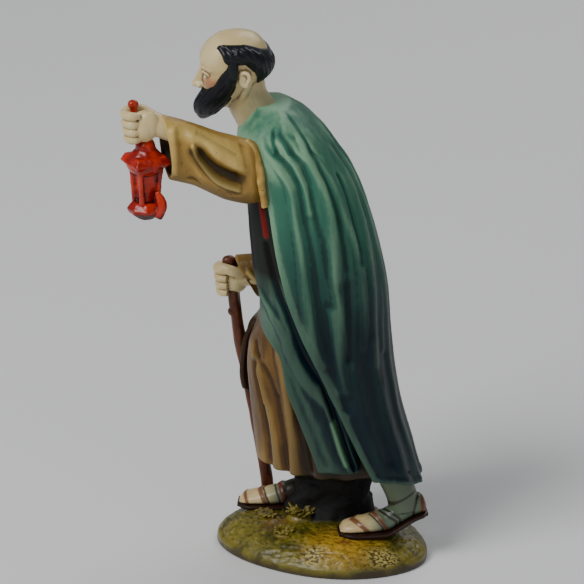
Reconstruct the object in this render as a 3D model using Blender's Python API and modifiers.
"""A painted nativity figurine, cast as one with the ground it stands on.

An old bearded traveller in a long tunic and mantle strides ahead, leaning forward. The left hand holds out a
red lantern, and the right hand a walking staff. The figure faces -Y, its left side is +X, and +Z is up. The
origin is at the middle of the flat underside. Figure, lantern, staff and ground are one solid, so every form
below is modelled closed, and all of them are united at the end.

The free forms are drawn on a figure 108 mm tall and keep their proportions when FIGURE_HEIGHT changes. A
place on the figure is (left, back, up) in millimetres, with up measured from the ground under its feet.
"""

import math

import bmesh
import bpy
from mathutils import Euler, Matrix, Vector

MM = 0.001
TURN = 2.0 * math.pi

# Driving sizes, in millimetres
FIGURE_HEIGHT = 108.0
MOUND_LENGTH = 47.2
MOUND_WIDTH = 35.2
MOUND_HEIGHT = 6.0
MOUND_RIM_HEIGHT = 1.6
MOUND_TURN = math.radians(27.0)
CLOTH_THICKNESS = 1.3
CUFF_WALL = 1.0
CUFF_DEPTH = 4.0
SOLE_THICKNESS = 0.9
STAFF_DIAMETER = 2.6
LANTERN_ROOF_SPAN = 8.2
LANTERN_BODY_SPAN = 5.0
LANTERN_BODY_HEIGHT = 7.6
LANTERN_FOOT_SPAN = 7.6
LANTERN_POST = 1.1
LANTERN_BAIL = 1.5
LANTERN_HANG = (12.2, -36.1, 87.0)
LANTERN_TURN = math.radians(28.0)
STOREY_STEP = 0.98
HEAD_HEIGHT = 16.0

# Fineness of the casting
CASTING_GRAIN = 0.26
CASTING_TRIANGLES = 9600

DRAWN_HEIGHT = 108.0
SHARE = FIGURE_HEIGHT / DRAWN_HEIGHT

# Sections of the mantle: height, reach back, half width, where it is widest, reach ahead
MANTLE = [
    (14.2, 21.1, 14.2, 8.0, -12.0),
    (20.0, 19.3, 14.6, 6.0, -14.0),
    (30.0, 15.9, 15.0, 3.0, -15.5),
    (40.0, 14.4, 15.2, 1.0, -16.0),
    (52.0, 13.5, 15.5, -0.5, -16.0),
    (62.0, 11.6, 15.8, -2.5, -16.0),
    (71.0, 9.0, 16.0, -4.5, -16.0),
    (79.0, 5.7, 15.8, -6.0, -17.0),
    (83.0, 2.9, 15.2, -7.5, -17.9),
    (87.0, 0.1, 13.4, -9.0, -17.6),
    (90.0, -2.8, 10.8, -9.8, -16.2),
    (92.0, -5.4, 8.2, -10.2, -14.8),
    (93.8, -8.4, 4.6, -10.8, -13.0),
]
MANTLE_HEM = 14.2
MANTLE_NEAR_EDGE = [
    (14.2, 11.2),
    (17.6, 9.4),
    (24.8, 6.0),
    (32.6, 2.7),
    (40.5, -1.1),
    (49.1, -5.2),
    (55.0, -7.2),
    (65.7, -9.7),
    (74.9, -11.1),
    (80.0, -12.2),
    (83.5, -15.0),
    (86.0, -17.6),
    (93.8, -12.9),
]
MANTLE_FAR_EDGE = [
    (14.2, 9.0),
    (25.0, 4.0),
    (40.0, -3.0),
    (55.0, -8.0),
    (65.0, -10.5),
    (75.0, -12.0),
    (80.0, -13.0),
    (83.5, -15.4),
    (86.0, -17.6),
    (93.8, -12.9),
]

# The front of the mantle, drawn across the waist and hung over the right forearm
SWATH = [
    (15.4, 10.0, 12.6, 5.0, -13.0),
    (22.0, 10.0, 13.0, 2.0, -18.6),
    (30.0, 9.0, 13.4, 0.0, -18.8),
    (37.0, 8.0, 13.6, -1.0, -18.0),
    (42.0, 8.0, 13.6, -1.5, -15.4),
    (46.0, 7.0, 13.7, -2.0, -13.2),
    (50.0, 7.0, 13.7, -2.0, -13.2),
    (54.0, 7.0, 13.8, -2.5, -13.9),
    (58.0, 6.0, 13.9, -3.0, -14.6),
    (66.0, 3.0, 13.6, -4.5, -15.3),
    (72.0, 1.0, 12.8, -5.5, -15.7),
    (78.0, -2.0, 10.0, -7.0, -16.0),
]
SWATH_NEAR_EDGE = [
    (15.4, -0.4),
    (19.7, -1.6),
    (26.9, -4.3),
    (34.0, -7.0),
    (41.1, -8.6),
    (46.0, -10.2),
    (50.0, -12.2),
    (54.0, -13.6),
    (66.0, -15.7),
    (78.0, -16.0),
]
SWATH_FAR_EDGE = [
    (15.4, 8.0),
    (19.0, 0.0),
    (22.0, -8.0),
    (24.0, -13.5),
    (26.0, -17.0),
    (30.0, -17.6),
    (37.0, -16.8),
    (42.0, -14.4),
    (46.0, -12.8),
    (54.0, -13.8),
    (66.0, -15.7),
    (78.0, -16.0),
]
SWATH_LEVELS = [15.4, 18.5, 21, 23, 25, 27, 32, 37, 40, 43, 46, 50, 56, 62, 70, 78]

# Sections of the tunic: height, reach ahead, reach back, half width
TUNIC = [
    (13.8, -14.0, 17.2, 11.2),
    (19.0, -14.5, 15.4, 11.4),
    (27.0, -15.3, 13.0, 11.5),
    (35.0, -15.9, 11.0, 11.5),
    (39.0, -15.6, 10.0, 11.5),
    (45.0, -13.6, 9.0, 11.6),
    (51.0, -12.4, 8.0, 11.8),
    (58.0, -13.4, 7.0, 12.0),
    (66.0, -14.6, 5.0, 12.0),
    (74.0, -15.2, 2.0, 11.4),
    (81.0, -15.8, -1.0, 10.2),
    (86.0, -15.4, -4.0, 8.4),
    (89.5, -14.2, -6.5, 5.4),
]
TUNIC_BACK_DROP = 0.6
LEADING_LEG = 3.5
TUNIC_LEVELS = [13.8, 15.5, 18, 21, 25, 29, 33, 37, 41, 46, 51, 60, 70, 80, 87]

# Sleeves from the armhole to the cuff: reach ahead, middle, top, bottom, half width
NEAR_SLEEVE = [
    (7.0, 11.0, 87.0, 76.0, 4.0),
    (12.0, 11.4, 87.8, 74.8, 4.8),
    (16.0, 12.0, 88.8, 74.8, 5.2),
    (20.0, 12.4, 90.0, 75.8, 5.3),
    (24.0, 12.6, 91.5, 77.5, 5.2),
    (28.0, 12.6, 93.0, 79.3, 5.1),
    (32.0, 12.6, 93.9, 80.2, 5.0),
]
NEAR_SLEEVE_LEAN = 0.8
NEAR_SLEEVE_SLANT = 1.2
FAR_SLEEVE = [
    (4.0, -10.2, 56.0, 43.0, 4.0),
    (9.0, -11.0, 56.2, 43.6, 4.2),
    (13.0, -11.6, 55.6, 45.0, 4.0),
    (16.0, -12.0, 55.2, 46.0, 3.7),
]
FAR_SLEEVE_LEAN = 2.3

# Sections of the head, as shares of its height: height, reach ahead, reach back, half width
HEAD = [
    (0.00, 0.36, -0.05, 0.07),
    (0.05, 0.41, -0.06, 0.16),
    (0.13, 0.43, -0.04, 0.22),
    (0.22, 0.42, 0.10, 0.28),
    (0.31, 0.43, 0.25, 0.315),
    (0.40, 0.43, 0.35, 0.345),
    (0.50, 0.415, 0.41, 0.365),
    (0.57, 0.45, 0.43, 0.375),
    (0.70, 0.445, 0.43, 0.38),
    (0.82, 0.385, 0.385, 0.345),
    (0.92, 0.275, 0.30, 0.25),
    (0.98, 0.14, 0.15, 0.13),
    (1.00, 0.03, 0.03, 0.03),
]
HEAD_PLACE = (0.0, -17.9, 100.2)
HEAD_NOD = math.radians(6.0)
NOSE = [
    (0.280, 0.440, 0.035),
    (0.300, 0.540, 0.080),
    (0.335, 0.595, 0.085),
    (0.390, 0.565, 0.055),
    (0.470, 0.510, 0.040),
    (0.545, 0.470, 0.045),
    (0.600, 0.440, 0.030),
]
# The ring of hair round the bald crown: degrees from the back of the head, its lower edge, its upper edge
HAIR = [
    (0, 0.29, 0.69),
    (30, 0.31, 0.76),
    (48, 0.43, 0.83),
    (63, 0.56, 0.87),
    (72, 0.63, 0.885),
    (95, 0.645, 0.89),
    (104, 0.68, 0.895),
    (112, 0.80, 0.895),
    (118, 0.86, 0.885),
]
HAIR_THICKNESS = 0.07
NAPE_REACH = 0.27
NECK = [
    (0.0, -11.0, 86.0),
    (0.0, -13.8, 90.5),
    (0.0, -15.7, 94.0),
    (0.0, -16.4, 98.0),
]
NECK_RADII = [5.0, 4.6, 4.35, 4.3]

# Sections of the beard: height, reach ahead, reach back, half width
BEARD = [
    (89.4, 25.4, 24.0, 0.8),
    (90.2, 26.0, 22.6, 2.0),
    (91.6, 26.3, 20.9, 3.2),
    (93.4, 26.0, 19.4, 4.4),
    (95.2, 24.0, 18.2, 5.3),
    (97.0, 22.9, 17.5, 5.9),
    (99.0, 21.6, 17.2, 6.3),
    (101.4, 20.2, 17.1, 6.4),
    (103.8, 19.4, 17.3, 6.2),
]

# A sandalled foot: distance from the heel, height of the instep, half width
FOOT = [
    (0.0, 2.4, 1.3),
    (0.8, 4.4, 2.4),
    (3.0, 6.0, 2.9),
    (6.0, 6.2, 3.1),
    (9.0, 5.2, 3.4),
    (12.5, 4.0, 3.7),
    (15.5, 3.2, 3.7),
    (17.4, 2.6, 3.0),
    (18.4, 1.3, 1.7),
]
FOOT_LENGTH = 18.4
NEAR_HEEL = (5.8, 21.9, 0.0)
NEAR_HEEL_RISE = 3.7
NEAR_LEG = [(6.2, 17.2, 5.0), (6.2, 16.3, 9.4), (6.6, 12.5, 18.0)]
NEAR_LEG_RADII = [3.1, 3.3, 3.6]
FAR_HEEL = (-7.6, 0.6, -0.2)
FAR_LEG = [(-7.6, -3.0, 3.2), (-7.8, -3.0, 7.5), (-7.6, -3.4, 16.0)]
FAR_LEG_RADII = [2.7, 2.5, 3.2]

# Hands: the middle of each fist, the levels of its fingers, and the wrist that runs back into the sleeve
NEAR_FIST = (12.2, -36.9, 91.6)
NEAR_FINGERS = [94.3, 92.5, 90.8, 89.2]
NEAR_WRIST = [(12.4, -26.0, 88.6), (12.4, -31.0, 90.8), (12.3, -35.0, 92.2)]
FAR_FIST = (-12.0, -19.0, 49.9)
FAR_FINGERS = [52.3, 50.6, 48.9, 47.3]
FAR_WRIST = [(-11.6, -11.0, 50.8), (-11.9, -15.0, 50.8), (-12.0, -18.4, 50.6)]

# The dark mass under the hem: height, its middle to the left, its reach ahead and back, half its width
SUPPORT = [
    (-2.0, -3.0, 9.5, 11.5, 6.8),
    (3.0, -4.0, 6.8, 10.5, 4.8),
    (8.0, -4.0, 5.4, 10.2, 4.6),
    (10.5, -2.5, 5.4, 12.6, 5.0),
    (17.0, -1.0, 5.4, 14.0, 6.0),
]

# Carved folds: height and distance back along the fold, relief, half width, and the side it is on
MANTLE_FOLDS = [
    ([(16, 11.8), (34, 3.5), (56, -5.0), (70, -8.0), (80, -10.0)], 0.7, 2.4, 1),
    ([(30, 4.0), (50, -1.5), (66, -4.5), (80, -7.5), (88, -9.5)], -0.9, 2.6, 1),
    ([(66, -3.0), (74, -4.0), (82, -6.0), (90, -9.0)], -0.8, 2.0, 1),
    ([(36, 5.0), (50, 2.8), (64, 2.3), (75, 1.1), (84, -2.4), (91, -6.4)], 0.9, 2.6, 1),
    ([(40, 7.0), (60, 5.5), (75, 3.0), (85, -1.5), (91, -5.0)], -0.9, 2.2, 1),
    ([(20, 14.0), (40, 10.0), (60, 8.2), (70, 6.6), (78, 4.2)], 0.6, 2.4, 1),
    ([(16, 17.5), (40, 12.2), (60, 10.4), (70, 8.6)], -0.7, 2.2, 1),
    ([(15, 17.0), (40, 10.5), (60, 8.0), (76, 2.0)], 0.8, 2.8, -1),
    ([(15, 13.0), (40, 6.0), (60, 3.0), (80, -4.0)], -0.9, 2.8, -1),
    ([(15, 10.0), (40, 1.5), (60, -2.0), (84, -9.0)], 0.8, 2.8, -1),
]
TUNIC_FOLDS = [
    ([(11, -11.6), (24, -12.0), (37, -14.2)], -1.0, 1.4, 1),
    ([(11, -9.4), (24, -10.4), (38, -13.2)], 0.6, 1.8, 1),
    ([(11, -5.9), (25, -6.4), (36, -7.9), (44, -9.0)], 0.9, 1.6, 1),
    ([(11, -3.4), (25, -4.4), (36, -5.8)], -1.4, 1.8, 1),
    ([(11, -0.4), (20, -2.1), (27, -4.1)], 0.7, 1.6, 1),
    ([(11, -12.0), (26, -13.0), (40, -13.6)], -1.1, 1.8, -1),
    ([(11, -9.5), (26, -10.0), (40, -10.6)], 0.8, 1.8, -1),
    ([(11, -6.0), (26, -6.6), (40, -7.0)], -1.0, 1.8, -1),
]


def figure(left, back, up):
    """A place on the figure, in metres."""
    return Vector((left * SHARE, back * SHARE, MOUND_HEIGHT + up * SHARE)) * MM


def steps(low, high, count):
    """Evenly spaced values, both ends included."""
    return [low + (high - low) * i / (count - 1) for i in range(count)]


def steady_slope(table, row, column):
    """The slope at a row: zero at a peak, and never so steep that the curve overshoots."""
    if row in (0, len(table) - 1):
        other = 1 if row == 0 else row - 1
        return (table[other][column] - table[row][column]) / (table[other][0] - table[row][0])
    before = (table[row][column] - table[row - 1][column]) / (table[row][0] - table[row - 1][0])
    after = (table[row + 1][column] - table[row][column]) / (table[row + 1][0] - table[row][0])
    if before * after <= 0:
        return 0.0
    return 2 * before * after / (before + after)


def along(table, place):
    """The table's values at a place, running smoothly between its rows."""
    place = min(max(place, table[0][0]), table[-1][0])
    row = next(i for i in range(len(table) - 1) if place <= table[i + 1][0])
    low, high = table[row], table[row + 1]
    span = high[0] - low[0]
    share = (place - low[0]) / span
    values = []
    for column in range(1, len(low)):
        rise, fall = (steady_slope(table, i, column) * span for i in (row, row + 1))
        values.append(
            low[column] * (1 + 2 * share) * (1 - share) ** 2
            + rise * share * (1 - share) ** 2
            + high[column] * share**2 * (3 - 2 * share)
            + fall * share**2 * (share - 1)
        )
    return values[0] if len(values) == 1 else values


def powered(value, power):
    return math.copysign(abs(value) ** power, value)


def egg(turn, half, middle, back, front, power=0.9, far_power=None):
    """(left, back) on an egg-shaped section. Turn 0 is the back and a quarter turn the left side."""
    ahead, side = math.cos(turn), math.sin(turn)
    if far_power and ahead < 0 and side < 0:
        power = far_power
    reach = back - middle if ahead > 0 else middle - front
    return half * powered(side, power), middle + reach * powered(ahead, power)


def egg_turn(place, middle, back, front, power=0.9):
    """The turn, on the left side, at which an egg-shaped section lies this far back."""
    reach = back - middle if place > middle else middle - front
    share = min(max((place - middle) / reach, -1.0), 1.0)
    return math.acos(powered(share, 1 / power))


def bump(distance, width):
    """A soft round ridge: 1 at its crest and 0 past its width."""
    share = min(abs(distance) / width, 1.0)
    return (1 - share * share) ** 2


def relief(folds, turn, up, radius, turn_at):
    """How far carved folds push the cloth out at a place. turn_at gives the turn of a distance back."""
    total = 0.0
    for path, height, width, side in folds:
        outside = max(path[0][0] - up, up - path[-1][0], 0.0)
        centre = turn_at(along(path, up)) * side
        apart = (turn - centre + math.pi) % TURN - math.pi
        total += height * bump(outside, 5.0) * bump(apart * radius, width)
    return total


def add_form(name, mesh_data):
    """Put a closed mesh among the forms, with all its faces pointing out."""
    bmesh.ops.remove_doubles(mesh_data, verts=mesh_data.verts, dist=2e-6)
    bmesh.ops.dissolve_degenerate(mesh_data, edges=mesh_data.edges, dist=2e-6)
    bmesh.ops.triangulate(mesh_data, faces=mesh_data.faces)
    bmesh.ops.recalc_face_normals(mesh_data, faces=mesh_data.faces)
    mesh = bpy.data.meshes.new(name)
    mesh_data.to_mesh(mesh)
    mesh_data.free()
    form = bpy.data.objects.new(name, mesh)
    forms.objects.link(form)
    form.hide_render = True
    form.display_type = "WIRE"
    return form


def loft(name, rings):
    """A closed solid through rings of equally many points, each end closed by a fan."""
    mesh_data = bmesh.new()
    rows = [[mesh_data.verts.new(point) for point in ring] for ring in rings]
    for lower, upper in zip(rows, rows[1:]):
        for i in range(len(lower)):
            j = (i + 1) % len(lower)
            mesh_data.faces.new((lower[i], lower[j], upper[j], upper[i]))
    for row in (rows[0], rows[-1]):
        centre = mesh_data.verts.new(sum((v.co for v in row), Vector()) / len(row))
        for i in range(len(row)):
            mesh_data.faces.new((row[i], row[(i + 1) % len(row)], centre))
    return add_form(name, mesh_data)


def bar(name, points, radii, sides=8):
    """A round bar through points: a curve with a bevel and filled caps. Radii are in millimetres."""
    curve = bpy.data.curves.new(name, "CURVE")
    curve.dimensions = "3D"
    curve.bevel_depth = SHARE * MM
    curve.bevel_resolution = sides // 2 - 2
    curve.use_fill_caps = True
    spline = curve.splines.new("POLY")
    spline.points.add(len(points) - 1)
    for spot, point, radius in zip(spline.points, points, radii):
        spot.co = (*point, 1.0)
        spot.radius = radius
    holder = bpy.data.objects.new(name, curve)
    forms.objects.link(holder)
    graph = bpy.context.evaluated_depsgraph_get()
    mesh = bpy.data.meshes.new_from_object(holder.evaluated_get(graph))
    bpy.data.objects.remove(holder)
    mesh_data = bmesh.new()
    mesh_data.from_mesh(mesh)
    bpy.data.meshes.remove(mesh)
    return add_form(name, mesh_data)


def ball(name, centre, radii, tilt=(0.0, 0.0, 0.0), segments=12, rings=7):
    """An ellipsoid, for the rounded masses under the carving."""
    mesh_data = bmesh.new()
    bmesh.ops.create_uvsphere(mesh_data, u_segments=segments, v_segments=rings, radius=1.0)
    stretch = Matrix.Diagonal((*[r * SHARE * MM for r in radii], 1.0))
    mesh_data.transform(Matrix.Translation(centre) @ Euler(tilt).to_matrix().to_4x4() @ stretch)
    return add_form(name, mesh_data)


def block(name, foot_place, bottom_span, top_span, height, turn, sides=4):
    """An upright tapering block standing on a point. Its spans are measured across flats, in millimetres."""
    mesh_data = bmesh.new()
    across = math.cos(math.pi / sides)
    bmesh.ops.create_cone(
        mesh_data,
        cap_ends=True,
        segments=sides,
        radius1=bottom_span / 2 / across * MM,
        radius2=top_span / 2 / across * MM,
        depth=height * MM,
    )
    place = Matrix.Translation(foot_place + Vector((0, 0, height / 2 * MM)))
    mesh_data.transform(place @ Matrix.Rotation(turn + math.pi / sides, 4, "Z"))
    return add_form(name, mesh_data)


def cloth_ring(up, sizes, edges, count, folds, opening, droop, far_power=None):
    """A level ring round a mantle: its outside, then the two lips of its open front and the hollow between.

    With an opening of 0 the front is closed and the ring runs straight on from one lip to the other.
    """
    back, half, middle, front = sizes
    near = min(egg_turn(edges[0], middle, back, front), math.pi - 0.06)
    far = -min(egg_turn(edges[1], middle, back, front, far_power or 0.9), math.pi - 0.06)
    hollow = 3.0 / half

    def at(turn, inset):
        left, place = egg(turn, half, middle, back, front, far_power=far_power)
        out = Vector((left, place - middle)).normalized()
        push = relief(folds, turn, up, half, lambda y: egg_turn(y, middle, back, front)) - inset
        return figure(left + out.x * push, place + out.y * push, up - droop * max(math.cos(turn), 0.0) ** 2)

    ring = [at(max(min(turn, near), far), 0.0) for turn in steps(math.pi, -math.pi, count)]
    lips = [at(turn, CLOTH_THICKNESS / SHARE) for turn in (far, far + hollow, near - hollow, near)]
    closed = [at(turn, 0.0) for turn in steps(far, near - TURN, 6)[1:-1]]
    return ring + [shut.lerp(lip, opening) for shut, lip in zip(closed, lips)]


def mantle():
    """The mantle over the shoulders and down the back. It closes at the throat and parts below."""
    rings = []
    for up in steps(MANTLE_HEM, 80.0, 13) + [82.5, 85.0, 87.5, 89.5, 91.0, 92.4, 93.8]:
        edges = along(MANTLE_NEAR_EDGE, up), along(MANTLE_FAR_EDGE, up)
        opening = bump(max(up - 74.0, 0.0), 11.0)
        droop = 4.2 * bump(up - MANTLE_HEM, 20.0)
        rings.append(cloth_ring(up, along(MANTLE, up), edges, 36, MANTLE_FOLDS, opening, droop))
    return loft("mantle", rings)


def swath():
    """The front of the mantle, with a free edge on the near side and a hanging tip on the far one."""
    rings = []
    for up in SWATH_LEVELS:
        edges = along(SWATH_NEAR_EDGE, up), along(SWATH_FAR_EDGE, up)
        opening = bump(max(up - 40.0, 0.0), 6.0)
        rings.append(cloth_ring(up, along(SWATH, up), edges, 26, [], opening, 0.0, far_power=0.45))
    return loft("swath", rings)


def tunic():
    """The long tunic, with the leading knee pushing at its front. Its hem hangs a little lower behind."""
    rings = []
    for up in TUNIC_LEVELS:
        front, back, half = along(TUNIC, up)
        middle = (front + back) / 2
        ring = []
        for turn in steps(0.0, TURN, 37)[:-1]:
            left, place = egg(turn, half, middle, back, front, 0.95)
            left -= LEADING_LEG * max(-math.cos(turn), 0.0) * bump(max(up - 20.0, 0.0), 40.0)
            out = Vector((left, place - middle)).normalized()
            push = relief(TUNIC_FOLDS, turn, up, half, lambda y: egg_turn(y, middle, back, front, 0.95))
            drop = TUNIC_BACK_DROP * (0.5 + 0.5 * math.cos(turn)) * bump(up - TUNIC_LEVELS[0], 24.0)
            ring.append(figure(left + out.x * push, place + out.y * push, up - drop))
        rings.append(ring)
    return loft("tunic", rings)


def sleeve_ring(ahead, middle, top, bottom, half, lean, slant, count=16):
    """An upright egg, wide at the arm above and narrow at the lowest fold of the cloth.

    Its top leans ahead by the lean, and its right side stands further ahead than its left by the slant.
    """
    centre, reach = (top + bottom) / 2, (top - bottom) / 2
    ring = []
    for turn in steps(0.0, TURN, count + 1)[:-1]:
        rise = math.cos(turn)
        left = half * math.sin(turn) * (0.74 + 0.26 * rise)
        back = -ahead - lean * rise + slant * math.sin(turn)
        ring.append(figure(middle + left, back, centre + reach * rise))
    return ring


def sleeve(name, table, lean, slant, count):
    """A wide sleeve, hollow at its cuff."""
    first, last = table[0][0], table[-1][0]
    rings = []
    for ahead in steps(first, last, count):
        share = (ahead - first) / (last - first)
        rings.append(sleeve_ring(ahead, *along(table, ahead), lean * share, slant * share))
    middle, top, bottom, half = table[-1][1:]
    wall = CUFF_WALL / SHARE
    for depth, inset in ((0.0, wall), (CUFF_DEPTH / SHARE, wall * 1.8)):
        sizes = (middle, top - inset, bottom + inset * 1.5, half - inset)
        rings.append(sleeve_ring(last - depth, *sizes, lean, slant))
    return loft(name, rings)


def head_place(left, ahead, high):
    """A place on the head, from shares of its height: beside and ahead of its middle, up from the chin."""
    local = Vector((left, -ahead, high - 0.5)) * HEAD_HEIGHT
    local.rotate(Euler((HEAD_NOD, 0.0, 0.0)))
    return figure(*(Vector(HEAD_PLACE) + local))


def head():
    """The skull and neck, with a calm, plain face: nose, brows, eyes, lips and ears."""
    rings = []
    for high in [0.0, 0.06, 0.15, 0.27, 0.39, 0.48, 0.53, 0.59, 0.7, 0.81, 0.9, 0.96, 1.0]:
        ahead, behind, half = along(HEAD, high)
        ring = []
        for turn in steps(0.0, TURN, 21)[:-1]:
            left, place = egg(turn, half, 0.0, behind, -ahead, 0.88)
            ring.append(head_place(left, -place, high))
        rings.append(ring)
    loft("skull", rings)
    rings = []
    for high, ahead, half in NOSE:
        rings.append(
            [
                head_place(half * math.sin(turn), 0.36 + (ahead - 0.36) * max(math.cos(turn), -0.2), high)
                for turn in steps(0.0, TURN, 9)[:-1]
            ]
        )
    loft("nose", rings)
    for side, name in ((1, "near"), (-1, "far")):
        brow = [(0.045, 0.44, 0.575), (0.13, 0.42, 0.59), (0.22, 0.37, 0.585), (0.29, 0.295, 0.56)]
        bar(f"{name}_brow", [head_place(side * x, y, z) for x, y, z in brow], [0.5, 0.62, 0.6, 0.4], 6)
        ball(f"{name}_eye", head_place(side * 0.15, 0.365, 0.495), (1.15, 0.85, 0.62), segments=8, rings=5)
        tilt = (-0.2, 0.0, side * 0.3)
        ball(f"{name}_ear", head_place(side * 0.385, -0.1, 0.45), (0.75, 1.4, 2.2), tilt, 8, 6)
    ball("lips", head_place(0.0, 0.415, 0.2), (1.7, 0.75, 0.75), segments=8, rings=5)
    bar("neck", [figure(*place) for place in NECK], NECK_RADII, 12)


def hair():
    """Short dark hair round the back and sides of a bald crown, lowest at the nape."""
    rings = []
    for share in steps(0.0, 1.0, 7):
        thick = HAIR_THICKNESS * (0.4 + 0.6 * math.sin(math.pi * share))
        ring = []
        for out, turns in ((thick, steps(-118.0, 118.0, 21)), (-0.06, steps(118.0, -118.0, 9))):
            for degrees in turns:
                low, top = along(HAIR, abs(degrees))
                high = low + (top - low) * share
                ahead, behind, half = along(HEAD, high)
                sizes = (half + out, 0.0, max(behind, NAPE_REACH) + out, -ahead - out)
                left, place = egg(math.radians(degrees), *sizes, 0.88)
                ring.append(head_place(left, -place, high))
        rings.append(ring)
    return loft("hair", rings)


def beard():
    """A full beard that runs forward and down to a point, with a moustache over the lips."""
    rings = []
    for up, ahead, behind, half in BEARD:
        middle = -(ahead + behind) / 2
        turns = steps(0.0, TURN, 15)[:-1]
        rings.append([figure(*egg(turn, half, middle, -behind, -ahead, 0.95), up) for turn in turns])
    loft("beard", rings)
    for side, name in ((1, "near"), (-1, "far")):
        hairs = [(0.0, 0.45, 0.27), (0.09, 0.45, 0.25), (0.17, 0.40, 0.19), (0.2, 0.36, 0.11)]
        bar(f"{name}_moustache", [head_place(side * x, y, z) for x, y, z in hairs], [0.7, 0.8, 0.7, 0.5], 6)


def fist(name, centre, side, finger_levels, finger_radius):
    """A hand closed round an upright bar. Side is +1 where the knuckles are on the figure's left."""
    left, back, up = centre
    ball(f"{name}_palm", figure(left + side * 0.6, back + 0.6, up), (2.6, 2.9, 3.3), segments=10, rings=6)
    curl = [(2.5, 0.6), (2.6, -1.8), (1.0, -3.2), (-1.3, -2.9), (-2.2, -1.2)]
    for i, level in enumerate(finger_levels):
        shrink = 1.0 - 0.06 * i
        points = [figure(left + side * x * shrink, back + y * shrink, level) for x, y in curl]
        radii = [r * finger_radius for r in (0.9, 1.0, 1.0, 0.95, 0.8)]
        bar(f"{name}_finger_{i}", points, radii, 6)
    thumb = [(-1.6, 2.2, 1.6), (-2.2, 0.0, 2.5), (-1.2, -2.2, 3.0), (0.0, -3.3, 2.9)]
    points = [figure(left + side * x, back + y, up + z) for x, y, z in thumb]
    bar(f"{name}_thumb", points, [r * finger_radius for r in (1.1, 1.2, 1.05, 0.85)], 6)


def hands():
    """Both hands, with a wrist running back into each sleeve."""
    fist("near_hand", NEAR_FIST, 1, NEAR_FINGERS, 1.08)
    bar("near_wrist", [figure(*place) for place in NEAR_WRIST], [2.6, 2.4, 2.5], 12)
    fist("far_hand", FAR_FIST, -1, FAR_FINGERS, 1.0)
    bar("far_wrist", [figure(*place) for place in FAR_WRIST], [2.5, 2.3, 2.3], 12)


def foot(name, heel, heading, heel_rise, leg, leg_radii):
    """A sandalled foot on its sole, with the leg running up into the tunic.

    Heel is the point on the ground under the back of the heel. The heel itself stands heel_rise above it.
    """
    left, back, up = heel
    turn = math.radians(heading)

    def at(distance, side, height):
        lift = heel_rise * bump(distance, FOOT_LENGTH * 0.5)
        x = math.cos(turn) * side + math.sin(turn) * distance
        y = math.sin(turn) * side - math.cos(turn) * distance
        return figure(left + x, back + y, up + lift + height)

    thick = SOLE_THICKNESS / SHARE
    rings = []
    for distance in steps(0.0, FOOT_LENGTH, 10):
        high, half = along(FOOT, distance)
        ring = []
        for angle in steps(0.0, TURN, 13)[:-1]:
            side = half * powered(math.sin(angle), 0.9) * (0.8 - 0.2 * math.cos(angle))
            rise = (high - thick) * (0.5 + 0.5 * powered(math.cos(angle), 0.8))
            ring.append(at(distance, side, thick * 0.8 + rise))
        rings.append(ring)
    loft(f"{name}_foot", rings)
    rings = []
    for distance in steps(-0.3, FOOT_LENGTH + 0.4, 8):
        half = along(FOOT, distance)[1] + 0.35
        corners = ((-half, 0.0), (half, 0.0), (half, thick), (-half, thick))
        rings.append([at(distance, side, rise) for side, rise in corners])
    loft(f"{name}_sole", rings)
    bar(f"{name}_leg", [figure(*place) for place in leg], leg_radii, 12)


def feet():
    foot("near", NEAR_HEEL, 6.0, NEAR_HEEL_RISE, NEAR_LEG, NEAR_LEG_RADII)
    foot("far", FAR_HEEL, -4.0, 0.0, FAR_LEG, FAR_LEG_RADII)


def lantern():
    """The lantern hangs from its bail: a bell roof over a square glazed body on a flaring foot."""
    left, back, top = LANTERN_HANG
    foot_span, body_span, roof_span = LANTERN_FOOT_SPAN, LANTERN_BODY_SPAN, LANTERN_ROOF_SPAN
    storeys = [
        ("bowl", foot_span * 0.45, foot_span * 0.9, 1.5, 8),
        ("foot", foot_span * 0.95, foot_span, 0.9, 8),
        ("tray", foot_span, body_span * 1.05, 1.4, 8),
        ("glass", body_span * 0.8, body_span * 0.9, LANTERN_BODY_HEIGHT, 4),
        ("eave", roof_span * 0.8, roof_span, 0.9, 4),
        ("roof", roof_span, roof_span * 0.8, 1.6, 4),
        ("cap", roof_span * 0.8, roof_span * 0.45, 1.6, 8),
    ]
    low = top - sum(storey[3] for storey in storeys) * STOREY_STEP / SHARE
    level = low
    for name, bottom_span, top_span, height, sides in storeys:
        place = figure(left, back, level)
        block(f"lantern_{name}", place, bottom_span, top_span, height, LANTERN_TURN, sides)
        if name == "glass":
            lantern_posts(left, back, level)
        level += height * STOREY_STEP / SHARE
    ball("lantern_dome", figure(left, back, top), (2.1, 2.1, 1.8))
    bail = [(0.0, 0.0, -0.2), (-0.2, -1.2, 3.0), (-0.2, -2.2, 7.6), (-0.2, -2.4, 9.0)]
    points = [figure(left + x, back + y, top + z) for x, y, z in bail]
    bar("lantern_bail", points, [LANTERN_BAIL / 2 / SHARE * f for f in (1.2, 1, 1, 1.1)])
    ball("lantern_knob", points[-1], (1.05, 1.15, 1.0), segments=8, rings=6)
    catch = [(2.8, 2.9, 1.5), (3.1, 3.9, 3.4), (2.8, 3.0, 5.4)]
    bar("lantern_catch", [figure(left + x, back + y, low + z) for x, y, z in catch], [0.9, 1.1, 0.8])


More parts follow.
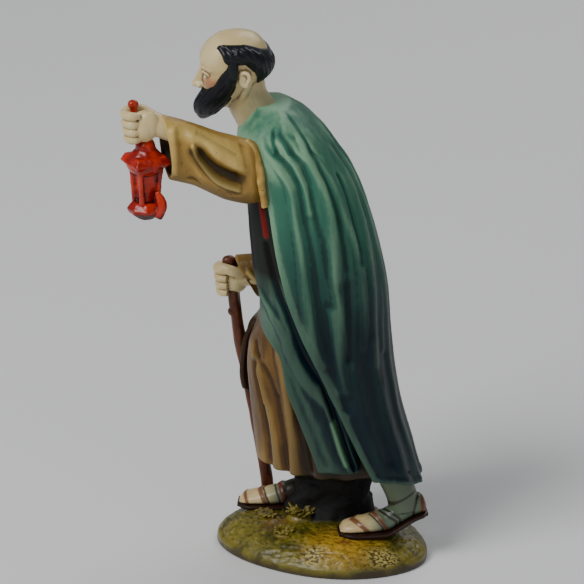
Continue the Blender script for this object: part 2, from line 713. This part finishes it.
def lantern_posts(left, back, level):
    """A round post at each corner of the lantern's body, leaning out a little towards the eave."""
    for corner in range(4):
        angle = LANTERN_TURN + math.pi / 4 + corner * math.pi / 2
        posts = []
        for up, spread in ((level, 0.96), (level + (LANTERN_BODY_HEIGHT + 0.3) / SHARE, 1.04)):
            reach = LANTERN_BODY_SPAN * spread / 2 * math.sqrt(2) - LANTERN_POST / 2
            side = Vector((math.cos(angle), math.sin(angle), 0.0)) * reach * MM
            posts.append(figure(left, back, up) + side)
        bar(f"lantern_post_{corner}", posts, [LANTERN_POST / 2 / SHARE] * 2)


def staff():
    """A rough walking staff, from the right hand down to the ground."""
    path = [
        (-12.0, -19.6, 54.0),
        (-12.1, -18.7, 46.0),
        (-12.3, -17.4, 36.0),
        (-12.6, -15.2, 24.0),
        (-12.9, -13.3, 13.0),
        (-13.0, -11.9, 4.0),
        (-13.0, -11.6, -1.5),
    ]
    rough = (1.12, 0.98, 1.05, 0.97, 1.04, 1.0, 1.1)
    bar("staff", [figure(*place) for place in path], [STAFF_DIAMETER / 2 / SHARE * f for f in rough], 8)


def ground():
    """An oval mound with a rounded rim, turned against the figure's course, and what rises from it."""
    rim, top = MOUND_RIM_HEIGHT, MOUND_HEIGHT
    profile = [(0.97, -1.2), (0.97, 0.0), (1.0, 0.28 * rim), (0.995, rim), (0.95, 0.46 * top)]
    profile += [(0.86, 0.72 * top), (0.72, 0.9 * top), (0.5, top), (0.25, top)]
    turned = Matrix.Rotation(-MOUND_TURN, 3, "Z")
    rings = []
    for reach, height in profile:
        ring = []
        for turn in steps(0.0, TURN, 37)[:-1]:
            wave = 1.0 + 0.01 * math.sin(3 * turn + 0.6) + 0.008 * math.sin(5 * turn + 2.0)
            lump = 0.35 * math.sin(4 * turn + reach * 5) * bump(reach - 0.75, 0.3) if height > rim else 0.0
            x = MOUND_WIDTH / 2 * reach * wave * math.sin(turn)
            y = MOUND_LENGTH / 2 * reach * wave * math.cos(turn)
            ring.append(turned @ Vector((x, y, height + lump)) * MM)
        rings.append(ring)
    loft("mound", rings)
    support()
    tufts = [((0.0, -4.2, 0.8), (3.4, 3.0, 2.8)), ((7.0, -8.0, -0.2), (3.2, 2.8, 1.5))]
    tufts.append(((-2.0, -12.0, -0.2), (3.4, 2.4, 1.3)))
    for i, (place, radii) in enumerate(tufts):
        ball(f"tuft_{i}", figure(*place), radii, (0.0, 0.2, 0.4 * i))


def support():
    """The dark mass under the hem that carries the figure."""
    rings = []
    for up, middle_left, ahead, behind, half in SUPPORT:
        middle = (behind - ahead) / 2
        ring = []
        for turn in steps(0.0, TURN, 15)[:-1]:
            left, back = egg(turn, half, middle, behind, -ahead)
            rough = 1.0 + 0.06 * math.sin(4 * turn + up)
            ring.append(figure(middle_left + left * rough, middle + (back - middle) * rough, up))
        rings.append(ring)
    loft("support", rings)


def glossy_paint(name, base):
    """Gloss enamel over the casting."""
    material = bpy.data.materials.new(name)
    material.use_nodes = True
    shader = material.node_tree.nodes["Principled BSDF"]
    shader.inputs["Base Color"].default_value = (*base, 1.0)
    shader.inputs["Roughness"].default_value = 0.32
    return material


def shaped(casting, kind, **settings):
    """Apply one modifier to the casting."""
    change = casting.modifiers.new(kind.lower(), kind)
    for key, value in settings.items():
        setattr(change, key, value)
    graph = bpy.context.evaluated_depsgraph_get()
    mesh = bpy.data.meshes.new_from_object(casting.evaluated_get(graph))
    casting.modifiers.remove(change)
    casting.data = mesh


def drop_crumbs(mesh):
    """Leave the largest connected body alone, without crumbs of thin edges beside it."""
    mesh_data = bmesh.new()
    mesh_data.from_mesh(mesh)
    waiting = set(mesh_data.verts)
    bodies = []
    while waiting:
        body = [waiting.pop()]
        for vert in body:
            near = {edge.other_vert(vert) for edge in vert.link_edges} & waiting
            waiting -= near
            body.extend(sorted(near, key=lambda v: v.index))
        bodies.append(body)
    bodies.sort(key=len)
    bmesh.ops.delete(mesh_data, geom=[vert for body in bodies[:-1] for vert in body], context="VERTS")
    mesh_data.to_mesh(mesh)
    mesh_data.free()


def cast(name):
    """One casting out of all the forms: united, given the soft joins of a casting, and cut flat below."""
    casting = bpy.data.objects.new(name, bpy.data.meshes.new(name))
    parts.objects.link(casting)
    union = {"operation": "UNION", "operand_type": "COLLECTION", "collection": forms, "solver": "EXACT"}
    shaped(casting, "BOOLEAN", **union)
    shaped(casting, "REMESH", mode="VOXEL", voxel_size=CASTING_GRAIN * MM)
    drop_crumbs(casting.data)
    shaped(casting, "TRIANGULATE")
    shaped(casting, "DECIMATE", ratio=CASTING_TRIANGLES / len(casting.data.polygons))
    mesh_data = bmesh.new()
    mesh_data.from_mesh(casting.data)
    whole = mesh_data.verts[:] + mesh_data.edges[:] + mesh_data.faces[:]
    table_top = {"plane_co": (0, 0, 0), "plane_no": (0, 0, -1)}
    cut = bmesh.ops.bisect_plane(mesh_data, geom=whole, clear_outer=True, **table_top)
    rim = [item for item in cut["geom_cut"] if isinstance(item, bmesh.types.BMEdge)]
    bmesh.ops.contextual_create(mesh_data, geom=rim)
    bmesh.ops.triangulate(mesh_data, faces=mesh_data.faces)
    bmesh.ops.recalc_face_normals(mesh_data, faces=mesh_data.faces)
    mesh_data.to_mesh(casting.data)
    mesh_data.free()
    casting.data.name = name
    casting.data.materials.clear()
    casting.data.materials.append(glossy_paint("painted_casting", (0.09, 0.22, 0.2)))
    return casting


for old in list(bpy.data.objects):
    bpy.data.objects.remove(old)
parts = bpy.data.collections.new("shepherd_figurine")
forms = bpy.data.collections.new("forms")
for collection in (parts, forms):
    bpy.context.scene.collection.children.link(collection)

mantle()
swath()
tunic()
sleeve("near_sleeve", NEAR_SLEEVE, NEAR_SLEEVE_LEAN, NEAR_SLEEVE_SLANT, 10)
sleeve("far_sleeve", FAR_SLEEVE, FAR_SLEEVE_LEAN, 0.0, 6)
head()
hair()
beard()
hands()
feet()
lantern()
staff()
ground()
cast("shepherd_figurine")
